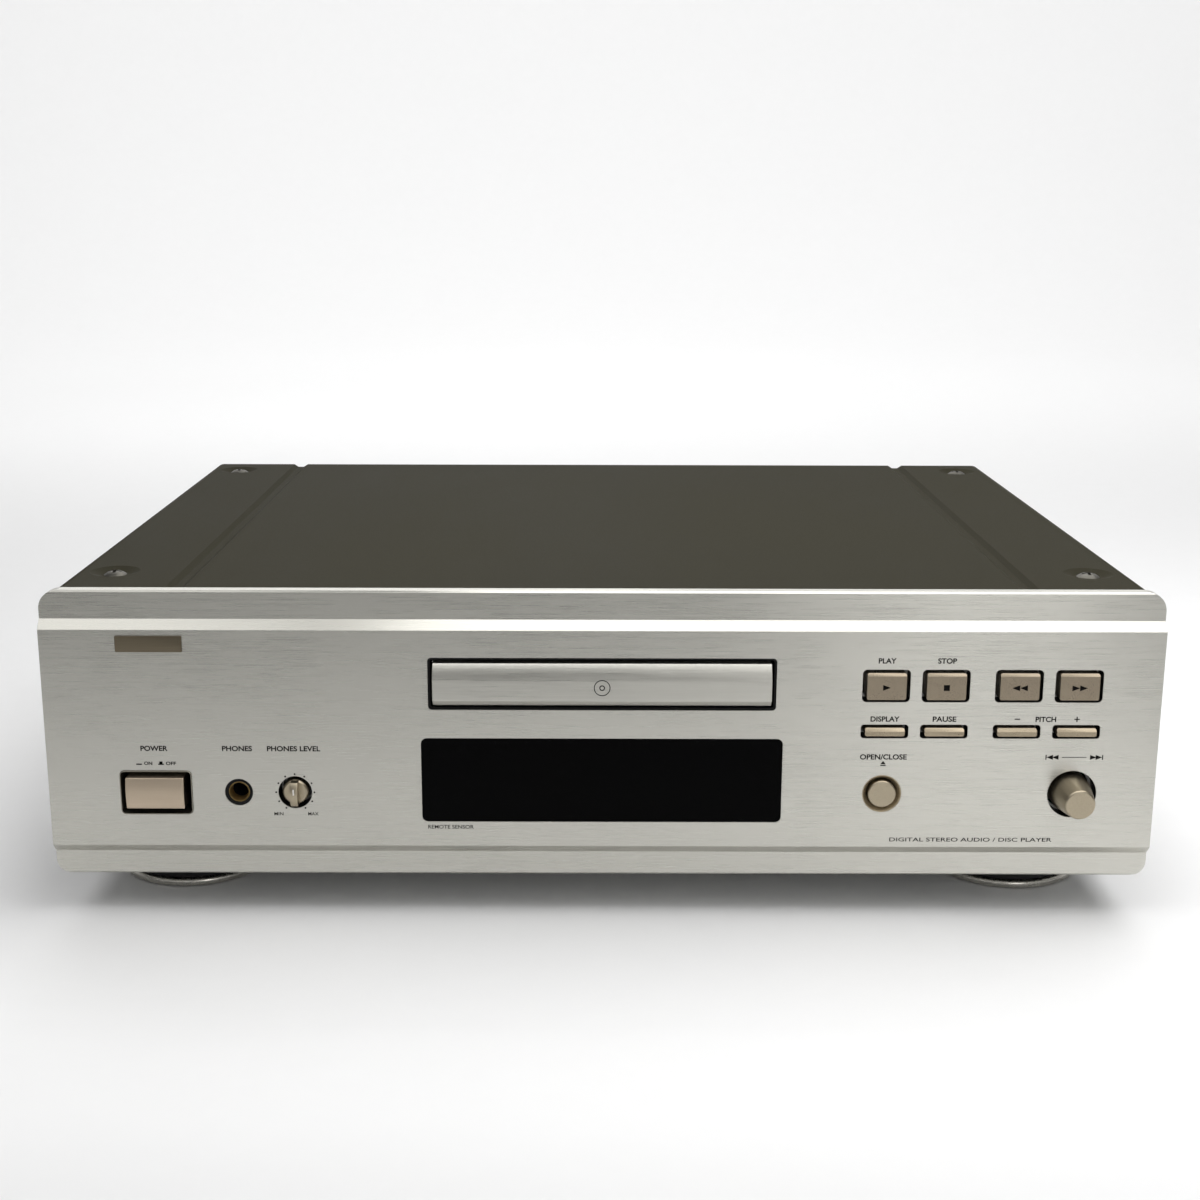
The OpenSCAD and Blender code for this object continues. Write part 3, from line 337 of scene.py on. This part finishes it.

# The walls of the panel's openings, which get painted shade: this far behind its face, and clear of its
# outer edges
HOLE_START = 0.5 * MM
EDGE_BAND = 18 * MM
SHADED_OPENINGS = (Vector((PANEL_LOW.x + EDGE_BAND, FACE_Y + HOLE_START, PANEL_LOW.z + EDGE_BAND)),
            Vector((PANEL_HIGH.x - EDGE_BAND, PANEL_HIGH.y - HOLE_START, PANEL_HIGH.z - EDGE_BAND)))

panel_metal = brushed_metal("brushed_silver_panel", SILVER, 0.28, 0.75, 0.12, shaded_holes=SHADED_OPENINGS)
door_metal = brushed_metal("brushed_silver_door", SILVER, 0.30, 0.75, 0.12)
cover_paint = painted_steel("olive_baked_enamel", OLIVE, 0.62, 0.03)
rear_paint = painted_steel("dark_rear_enamel", (0.030, 0.029, 0.026), 0.5, 0.3)
screw_metal = spun_metal("dark_nickel_screws", (0.10, 0.095, 0.082), 0.42)
zinc_metal = brushed_metal("zinc_plated_sheet", (0.50, 0.50, 0.48), 0.38, 0.3, 0.06, 0.12)
foot_plastic = moulded_plastic("black_foot_plastic", BLACK, 0.5, 1400, 0.3, specular=0.25)
ring_metal = spun_metal("satin_plated_ring", (0.62, 0.60, 0.55), 0.27)
pad_rubber = soft_rubber("felt_grey_pad", (0.03, 0.03, 0.028))
badge_metal = brushed_metal("dark_bronze_plate", (0.16, 0.135, 0.095), 0.38, 0.5, 0.12)
window_gloss = glossy_window("smoked_window", (0.0009, 0.0009, 0.001))
tube_glass = clear_glass("display_tube_glass", (0.04, 0.06, 0.06))
black_plastic = moulded_plastic("fine_black_plastic", (0.007, 0.007, 0.007), 0.55, specular=0.15)
tray_plastic = moulded_plastic("tray_black_plastic", (0.02, 0.02, 0.0205), 0.5, 1900, 0.35)
frame_plastic = moulded_plastic("mechanism_plastic", (0.022, 0.022, 0.022), 0.55, 900, 0.3)
bezel_metal = spun_metal("bezel_satin_metal", (0.27, 0.255, 0.215), 0.4)
cap_metal = brushed_metal("champagne_cap_metal", CHAMPAGNE, 0.34, 0.6, 0.05)
knob_metal = spun_metal("champagne_turned_metal", (0.40, 0.345, 0.255), 0.33)
key_lacquer = metallic_lacquer("bronze_key_lacquer", BRONZE, 0.3)
slim_lacquer = metallic_lacquer("pale_bronze_key_lacquer", (0.36, 0.30, 0.215), 0.3)
cup_lacquer = metallic_lacquer("dark_bronze_cup_lacquer", (0.42, 0.35, 0.24), 0.45)
brass_metal = spun_metal("contact_brass", (0.44, 0.305, 0.125), 0.5)
ivory_plastic = moulded_plastic("ivory_gear_plastic", (0.62, 0.58, 0.48), 0.4, 1200, 0.15, 0.04)
motor_metal = spun_metal("motor_can_metal", (0.50, 0.50, 0.48), 0.3)
belt_rubber = soft_rubber("belt_rubber", (0.012, 0.012, 0.012))
lens_glass = clear_glass("coated_lens", (0.10, 0.16, 0.30))
board_green = circuit_board("green_circuit_board", (0.03, 0.12, 0.05))
part_plastic = moulded_plastic("component_sleeves", (0.03, 0.035, 0.07), 0.35, 2500, 0.1, 0.3)
core_metal = brushed_metal("laminated_core", (0.10, 0.09, 0.075), 0.5, 0.2, 0.3, 0.1)
label_ink = moulded_plastic("printed_ink", (0.006, 0.0055, 0.005), 0.7, 3000, 0.05, 0.25, 0.05)
# Painted highlight: white paint for the bright spot on the level knob's rib
painted_highlight_white = moulded_plastic("painted_highlight_white", (0.75, 0.73, 0.68), 0.5, 3000, 0.05, 0.06)

FINISHES = {
    panel_metal: ["front_panel"],
    door_metal: ["tray_door"],
    cover_paint: ["top_cover"],
    rear_paint: ["rear_panel"],
    screw_metal: ["cover_screws", "rear_screws", "foot_screws"],
    zinc_metal: ["bottom_chassis", "front_subpanel", "clamp_bridge", "traverse_plate"],
    foot_plastic: ["foot_bodies"],
    ring_metal: ["foot_rings"],
    pad_rubber: ["foot_pads"],
    badge_metal: ["badge_plate"],
    window_gloss: ["display_window"],
    tube_glass: ["display_module"],
    black_plastic: ["drawer_surround", "phones_jack", "rear_sockets", "power_switch"],
    tray_plastic: ["disc_tray"],
    frame_plastic: ["mech_frame", "turntable", "pickup_sled"],
    bezel_metal: ["power_bezel"],
    cap_metal: ["power_button"],
    knob_metal: ["phones_level_knob", "skip_knob", "open_button"],
    key_lacquer: ["play_button", "stop_button", "rewind_button", "forward_button"],
    slim_lacquer: ["display_button", "pause_button", "pitch_down_button", "pitch_up_button"],
    cup_lacquer: ["open_button_cup"],
    brass_metal: ["phones_jack_ring"],
    ivory_plastic: [
        "power_link", "motor_pulley", "pulley_gear", "tray_gear", "sled_gear", "sled_motor_gear",
        "clamp_puck"],
    motor_metal: [
        "loading_motor", "spindle_motor", "sled_motor", "guide_rods", "phones_pot", "skip_encoder"],
    belt_rubber: ["drive_belt"],
    lens_glass: ["pickup_lens"],
    board_green: ["control_board", "main_board"],
    part_plastic: ["board_parts", "tact_switches"],
    core_metal: ["power_transformer"],
}

# Width of the softened edge on each node, in millimetres; the others get EDGE
EDGE = 0.15
EDGES = {
    "front_panel": 0.25, "tray_door": 0.3, "top_cover": 0.2, "power_button": 0.35,
    "display_window": 0.25, "skip_knob": 0.25, "disc_tray": 0.4, "foot_bodies": 0.3, "power_bezel": 0.2,
    "tray_gear": 0, "pulley_gear": 0, "sled_gear": 0, "sled_motor_gear": 0, "drive_belt": 0,
    "pickup_sled": 0, "board_parts": 0, "tact_switches": 0,
}


def finish_nodes():
    """Gives each node its material and softened edges."""
    for material, names in FINISHES.items():
        for name in names:
            piece = nodes[name]
            piece.data.materials.clear()
            piece.data.materials.append(material)
            soften(piece, EDGES.get(name, EDGE))


# Points closer than this are one point; faces within this many degrees are one face; edges
# that turn by more than this many degrees are rounded
SAME_POINT = 0.002 * MM
SAME_FACE = 0.5
SHARP = 30


def soften(piece, width_mm):
    """Welds a piece's close points, joins its flat faces and rounds its sharp edges, hardening their
    normals.
    """
    if width_mm <= 0:
        return
    weld = piece.modifiers.new("weld", "WELD")
    weld.merge_threshold = SAME_POINT
    flat = piece.modifiers.new("flat", "DECIMATE")
    flat.decimate_type = "DISSOLVE"
    flat.angle_limit = math.radians(SAME_FACE)
    edge = piece.modifiers.new("edge", "BEVEL")
    edge.width = width_mm * MM
    edge.segments = 3
    edge.limit_method = "ANGLE"
    edge.angle_limit = math.radians(SHARP)
    edge.harden_normals = True


# ---------------------------------------------------------------- printed marks and a painted highlight


def circle(r, sides):
    """Points on a circle round the origin."""
    turn = [2 * math.pi * i / sides for i in range(sides)]
    return [(r * math.cos(a), r * math.sin(a)) for a in turn]


# Heights of the capitals
CAP = 2.1 * MM
SMALL_CAP = 1.35 * MM
# How far the outlines of letters are thickened, in the font's units: large and small letters
BOLD = 0.026
FINE = 0.008
# Height of a capital in the font's units
FONT_CAPITAL = 0.729


class Print:
    """Ink laid on a vertical surface: letters, bars, discs and polygons, joined into one piece."""

    THICK = 0.06 * MM
    SUNK = THICK * 0.3

    def __init__(self, name, y):
        self.mesh = bmesh.new()
        self.name = name
        self.y = y

    def corner(self, x, depth, z):
        """A new corner, depth behind the printed surface."""
        return self.mesh.verts.new((x, self.y + depth, z))

    def polygon(self, points):
        """points are (x, z) pairs, anticlockwise as seen from the front."""
        front = [self.corner(x, -self.THICK, z) for x, z in points]
        back = [self.corner(x, self.SUNK, z) for x, z in points]
        self.mesh.faces.new(front)
        self.mesh.faces.new(back[::-1])
        for i in range(len(points)):
            j = (i + 1) % len(points)
            self.mesh.faces.new((front[j], front[i], back[i], back[j]))

    def bar(self, x, z, w, h):
        corners = [(-w / 2, -h / 2), (w / 2, -h / 2), (w / 2, h / 2), (-w / 2, h / 2)]
        self.polygon([(x + dx, z + dz) for dx, dz in corners])

    def cross(self, x, z, size, w):
        """A plus sign."""
        a, b = size / 2, w / 2
        corners = [(b, -a), (b, -b), (a, -b), (a, b), (b, b), (b, a),
                   (-b, a), (-b, b), (-a, b), (-a, -b), (-b, -b), (-b, -a)]
        self.polygon([(x + dx, z + dz) for dx, dz in corners])

    def disc(self, x, z, r, sides):
        self.polygon([(x + dx, z + dz) for dx, dz in circle(r, sides)])

    def ring(self, x, z, r, w, sides):
        """A flat ring of outer radius r whose band is w wide."""
        bands = [(r, -self.THICK), (r - w, -self.THICK), (r - w, self.SUNK), (r, self.SUNK)]
        loops = []
        for radius, depth in bands:
            loops.append([self.corner(x + dx, depth, z + dz) for dx, dz in circle(radius, sides)])
        for one, two in zip(loops, loops[1:] + loops[:1]):
            for i in range(sides):
                j = (i + 1) % sides
                self.mesh.faces.new((one[i], one[j], two[j], two[i]))

    def triangle(self, x, z, w, h, way=1):
        """Play-style triangle; way is 1 to point right and -1 to point left."""
        back_x, tip_x = x - way * w / 2, x + way * w / 2
        points = [(back_x, z - h / 2), (tip_x, z), (back_x, z + h / 2)]
        self.polygon(points if way > 0 else points[::-1])

    def letters(self, text, x, z, width, height, bold=BOLD):
        """Text centred on x and width wide, with its capitals from z up to z + height."""
        curve = bpy.data.curves.new("letters", "FONT")
        curve.body = text
        curve.extrude = 0.01
        curve.resolution_u = 6
        curve.offset = bold
        holder = bpy.data.objects.new("letters", curve)
        scene.collection.objects.link(holder)
        bpy.context.view_layer.update()
        depsgraph = bpy.context.evaluated_depsgraph_get()
        shaped = bpy.data.meshes.new_from_object(holder.evaluated_get(depsgraph))
        xs = [v.co.x for v in shaped.vertices]
        scale_x = width / (max(xs) - min(xs))
        centre = (max(xs) + min(xs)) / 2
        for v in shaped.vertices:
            depth = -self.THICK if v.co.z > 0 else self.SUNK
            across = x + (v.co.x - centre) * scale_x
            v.co = Vector((across, self.y + depth, z + v.co.y * height / FONT_CAPITAL))
        self.mesh.from_mesh(shaped)
        bpy.data.objects.remove(holder)
        bpy.data.curves.remove(curve)
        bpy.data.meshes.remove(shaped)

    def finish(self, body, material):
        """Makes the piece, which moves with body and has slot as its material slot."""
        mesh = bpy.data.meshes.new(self.name)
        bmesh.ops.remove_doubles(self.mesh, verts=self.mesh.verts, dist=0.001 * MM)
        self.mesh.to_mesh(mesh)
        self.mesh.free()
        piece = bpy.data.objects.new(self.name, mesh)
        scene.collection.objects.link(piece)
        mesh.materials.append(material)
        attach(piece, body)


# Heights of lettering above the middle of what it names
TITLE_RISE = 17.2 * MM
STATE_RISE = 11.4 * MM
KEY_LABEL_RISE = 9.1 * MM
SLIM_LABEL_RISE = 4.1 * MM
OPEN_LABEL_RISE = 14.2 * MM
EJECT_RISE = 12.2 * MM
SKIP_MARK_RISE = 15.2 * MM

# The level knob's dots: how many, degrees of the first one and between them, and their places
LEVEL_DOTS = 11
FIRST_DOT = 240
DOT_STEP = 30
DOT_CIRCLE = 7.5 * MM
DOT_R = 0.36 * MM
DOT_SIDES = 12
# The smallest and largest level's words, beside and below the knob's middle
LEVEL_WORD_SIDE = 6.8 * MM
LEVEL_WORD_DROP = 9.6 * MM

# X and Z of the words that no control stands beside
SENSOR_WORDS_AT = (-59.4 * MM, 37.4 * MM)
SMALL_PRINT_AT = (145.9 * MM, 32.5 * MM)
SMALL_PRINT = "DIGITAL STEREO AUDIO / DISC PLAYER"

# Plus and minus signs, and the bars of the power button's two states
SIGN = 2.1 * MM
SIGN_BAR = 0.42 * MM
STATE_BAR_W = 2.2 * MM
STATE_BAR_H = 0.5 * MM


def print_left_controls(ink):
    power = middle("power_bezel")
    jack = middle("phones_jack")
    level = middle("phones_level_knob")
    title_z = power.z + TITLE_RISE
    ink.letters("POWER", power.x, title_z, 10.6 * MM, CAP)
    ink.letters("PHONES", jack.x, title_z, 11.7 * MM, CAP)
    ink.letters("PHONES LEVEL", level.x, title_z, 20.8 * MM, CAP)
    state_z = power.z + STATE_RISE
    bar_z = state_z + STATE_BAR_H / 2
    off_x = power.x + 2.4 * MM
    ink.bar(power.x - 6.2 * MM, bar_z, STATE_BAR_W, STATE_BAR_H)
    ink.letters("ON", power.x - 2.6 * MM, state_z, 3.2 * MM, SMALL_CAP)
    ink.bar(off_x, bar_z, STATE_BAR_W, STATE_BAR_H)
    ink.bar(off_x, state_z + 0.7 * MM, 1.3 * MM, 1.4 * MM)
    ink.letters("OFF", power.x + 6.3 * MM, state_z, 4.0 * MM, SMALL_CAP)
    word_z = level.z - LEVEL_WORD_DROP
    ink.letters("MIN", level.x - LEVEL_WORD_SIDE, word_z, 3.6 * MM, 1.4 * MM, FINE)
    ink.letters("MAX", level.x + LEVEL_WORD_SIDE, word_z, 4.1 * MM, 1.4 * MM, FINE)
    for step in range(LEVEL_DOTS):
        a = math.radians(FIRST_DOT - DOT_STEP * step)
        dot_x = level.x + DOT_CIRCLE * math.cos(a)
        dot_z = level.z + DOT_CIRCLE * math.sin(a)
        ink.disc(dot_x, dot_z, DOT_R, DOT_SIDES)
    ink.letters("REMOTE SENSOR", *SENSOR_WORDS_AT, 18.0 * MM, 1.6 * MM, FINE)


def print_right_controls(ink):
    play, stop = middle("play_button"), middle("stop_button")
    display, pause = middle("display_button"), middle("pause_button")
    down, up = middle("pitch_down_button"), middle("pitch_up_button")
    ink.letters("PLAY", play.x, play.z + KEY_LABEL_RISE, 6.9 * MM, CAP)
    ink.letters("STOP", stop.x, stop.z + KEY_LABEL_RISE, 7.3 * MM, CAP)
    slim_z = display.z + SLIM_LABEL_RISE
    ink.letters("DISPLAY", display.x, slim_z, 11.3 * MM, CAP)
    ink.letters("PAUSE", pause.x, slim_z, 9.2 * MM, CAP)
    ink.letters("PITCH", (down.x + up.x) / 2 - 0.5 * MM, slim_z, 8.0 * MM, CAP)
    ink.bar(down.x, slim_z + CAP / 2, SIGN, SIGN_BAR)
    ink.cross(up.x, slim_z + CAP / 2, SIGN, SIGN_BAR)


EJECT_HALF = 1.05 * MM
EJECT_H = 1.3 * MM
# The skip marks: two triangles each side, at these distances, and a bar beyond them
SKIP_STEPS = (7.4 * MM, 9.6 * MM)
SKIP_BAR_SIDE = 11.05 * MM
SKIP_MARK_H = 2.0 * MM


def print_drawer_and_skip_marks(ink):
    opener = middle("open_button")
    ink.letters("OPEN/CLOSE", opener.x, opener.z + OPEN_LABEL_RISE, 18.3 * MM, CAP)
    eject_z = opener.z + EJECT_RISE
    ink.polygon([
        (opener.x - EJECT_HALF, eject_z), (opener.x + EJECT_HALF, eject_z),
        (opener.x, eject_z + EJECT_H)])
    ink.bar(opener.x, eject_z - 0.5 * MM, EJECT_HALF * 2, 0.35 * MM)
    skip = middle("skip_knob")
    skip_z = skip.z + SKIP_MARK_RISE
    for way in (-1, 1):
        for step in SKIP_STEPS:
            ink.triangle(skip.x + way * step, skip_z, 2.5 * MM, SKIP_MARK_H, way)
        ink.bar(skip.x + way * SKIP_BAR_SIDE, skip_z, 0.4 * MM, SKIP_MARK_H)
    ink.bar(skip.x, skip_z, 9.6 * MM, 0.24 * MM)
    ink.letters(SMALL_PRINT, *SMALL_PRINT_AT, 64.2 * MM, 1.65 * MM, FINE)


def print_panel():
    ink = Print("panel_lettering", FACE_Y)
    print_left_controls(ink)
    print_right_controls(ink)
    print_drawer_and_skip_marks(ink)
    ink.finish("root", label_ink)


# Each key's triangles: how far to the side and which way; None is a square
KEY_MARKS = {
    "play_button": [(0, 1)],
    "stop_button": None,
    "rewind_button": [(-1.5 * MM, -1), (1.5 * MM, -1)],
    "forward_button": [(-1.5 * MM, 1), (1.5 * MM, 1)],
}
KEY_MARK_DROP = 0.4 * MM
KEY_SQUARE = 2.3 * MM
KEY_TRIANGLE_W = 3.0 * MM
KEY_TRIANGLE_H = 2.295 * MM


def print_keys():
    for body, marks in KEY_MARKS.items():
        place = middle(body)
        z = place.z - KEY_MARK_DROP
        ink = Print(body.replace("_button", "_symbol"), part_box(body)[0].y)
        if marks is None:
            ink.bar(place.x, z, KEY_SQUARE, KEY_SQUARE)
        else:
            for side, way in marks:
                ink.triangle(place.x + side, z, KEY_TRIANGLE_W, KEY_TRIANGLE_H, way)
        ink.finish(body, label_ink)


def print_disc_mark():
    """A plain disc sign in the middle of the drawer front."""
    place = middle("tray_door")
    z = place.z - 0.8 * MM
    ink = Print("disc_sign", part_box("tray_door")[0].y)
    ink.ring(place.x, z, 3.2 * MM, 0.32 * MM, 48)
    ink.ring(place.x, z, 1.1 * MM, 0.4 * MM, 32)
    ink.finish("drawer", label_ink)


def paint_rib_highlight():
    """Painted highlight: a white line on the upper middle of the level knob's rib, where the light
    catches it.
    """
    place = middle("phones_level_knob")
    ink = Print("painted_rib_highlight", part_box("phones_level_knob")[0].y)
    ink.bar(place.x, place.z + 1.5 * MM, 0.55 * MM, 2.4 * MM)
    ink.finish("phones_level_knob", painted_highlight_white)


# ---------------------------------------------------------------- stage and light

# Radius of the flat floor, of the sweep up to the wall, and the wall's height, in metres
FLOOR_R = 2.2
WALL_R = 0.9
WALL_H = 2.4
SWEEP_STEPS = 12
STAGE_SIDES = 96
PALE = (0.88, 0.88, 0.88)
STRIP_GREY = (0.14, 0.14, 0.14)


def stage_profile():
    """Radius and height of each ring of the stage, from the inside out."""
    profile = [(FLOOR_R * 0.3, 0.0), (FLOOR_R * 0.6, 0.0), (FLOOR_R, 0.0)]
    for i in range(1, SWEEP_STEPS + 1):
        a = math.radians(90 * i / SWEEP_STEPS)
        profile.append((FLOOR_R + WALL_R * math.sin(a), WALL_R * (1 - math.cos(a))))
    profile.append((FLOOR_R + WALL_R, WALL_H))
    return profile


def make_stage():
    """A pale round floor that sweeps up into a wall on every side."""
    mesh = bmesh.new()
    rings = []
    for radius, height in stage_profile():
        rings.append([mesh.verts.new((x, y, height)) for x, y in circle(radius, STAGE_SIDES)])
    mesh.faces.new(rings[0])
    for inner, outer in zip(rings, rings[1:]):
        for i in range(STAGE_SIDES):
            j = (i + 1) % STAGE_SIDES
            mesh.faces.new((inner[i], outer[i], outer[j], inner[j]))
    data = bpy.data.meshes.new("studio_floor")
    mesh.to_mesh(data)
    mesh.free()
    for face in data.polygons:
        face.use_smooth = True
    data.materials.append(paper_floor("pale_paper", PALE, STRIP_GREY))
    floor = bpy.data.objects.new("studio_floor", data)
    scene.collection.objects.link(floor)


# Name, place, target, width, height and watts of each light, in metres
LIGHTS = [
    ("top_softbox", (0.28, -0.10, 0.66), (0.28, -0.11, 0), 0.86, 0.7, 5.0),
    ("left_softbox", (-0.42, -0.36, 0.66), (-0.40, -0.35, 0), 0.44, 0.4, 0.6),
    ("front_softbox", (0.0, -0.60, 0.62), (0, -0.61, 0), 1.3, 0.5, 1.1),
    ("backdrop_light", (0.0, 1.6, 1.9), (0, 2.2, 0.2), 3.0, 1.4, 42),
    ("front_backdrop_light", (0.0, -1.6, 1.9), (0, -2.2, 0.2), 3.0, 1.4, 6),
    ("rear_softbox", (-0.3, 1.3, 0.8), (0, 0.1, 0.06), 0.9, 0.7, 1.2),
    ("right_softbox", (0.42, -1.35, 0.5), (0.15, -0.15, 0.06), 0.26, 1.0, 2.2),
]
WORLD_STRENGTH = 0.12


def area_light(name, place, target, width, height, power):
    data = bpy.data.lights.new(name, "AREA")
    data.shape = "RECTANGLE"
    data.size, data.size_y = width, height
    data.energy = power
    light = bpy.data.objects.new(name, data)
    scene.collection.objects.link(light)
    place = Vector(place)
    aim = (Vector(target) - place).to_track_quat("-Z", "Y")
    light.matrix_world = Matrix.Translation(place) @ aim.to_matrix().to_4x4()
    light.visible_camera = False


def make_light():
    world = bpy.data.worlds.new("studio")
    scene.world = world
    world.use_nodes = True
    background = world.node_tree.nodes["Background"]
    background.inputs["Color"].default_value = (1.0, 1.0, 1.0, 1)
    background.inputs["Strength"].default_value = WORLD_STRENGTH
    for light in LIGHTS:
        area_light(*light)
    scene.view_settings.view_transform = "Standard"
    scene.view_settings.exposure = 0.0


make_camera()
finish_nodes()
print_panel()
print_keys()
print_disc_mark()
paint_rib_highlight()
make_stage()
make_light()
